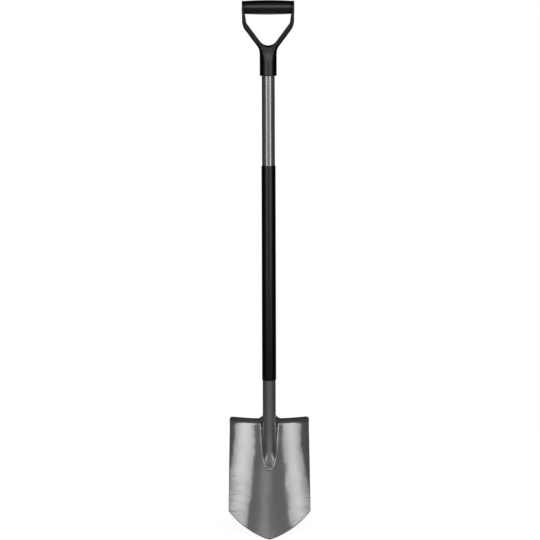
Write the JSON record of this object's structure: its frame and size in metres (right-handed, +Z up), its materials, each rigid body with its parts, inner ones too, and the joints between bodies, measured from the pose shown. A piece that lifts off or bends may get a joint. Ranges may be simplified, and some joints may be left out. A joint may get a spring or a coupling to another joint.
{
  "type": "pointed spade",
  "caption": "Long pointed garden spade: dished steel blade with turned footrests, welded tubular shaft with a plastic sleeve, and a D handle.",
  "frame": {"origin": "bottom centre of the whole spade's bounding box: at the height of the blade's point, midway between its sides and between its foremost and rearmost reach", "axes": "+Z up along the shaft to the grip, +Y towards the back of the spade, so the blade's hollow face looks towards -Y, and +X to the right seen from the front"},
  "size_m": [0.178, 0.0656, 1.1605],
  "materials": {
    "blade_steel": "satin dark steel with a thin clear coat",
    "graphite_paint": "satin graphite paint",
    "weld_steel": "painted weld bead, slightly rippled",
    "sleeve_plastic": "fine matt black",
    "handle_plastic": "fine spark-eroded black moulding",
    "grip_plastic": "satin black",
    "rivet_steel": "plain zinc plated"
  },
  "bodies": {
    "root": {"blade": "blade_steel", "shaft_tube": "graphite_paint", "foot_weld": "weld_steel", "neck_weld": "weld_steel", "shaft_sleeve": "sleeve_plastic", "handle_yoke": "handle_plastic", "handle_grip": "grip_plastic", "handle_rivet": "rivet_steel"}
  },
  "joints": []
}
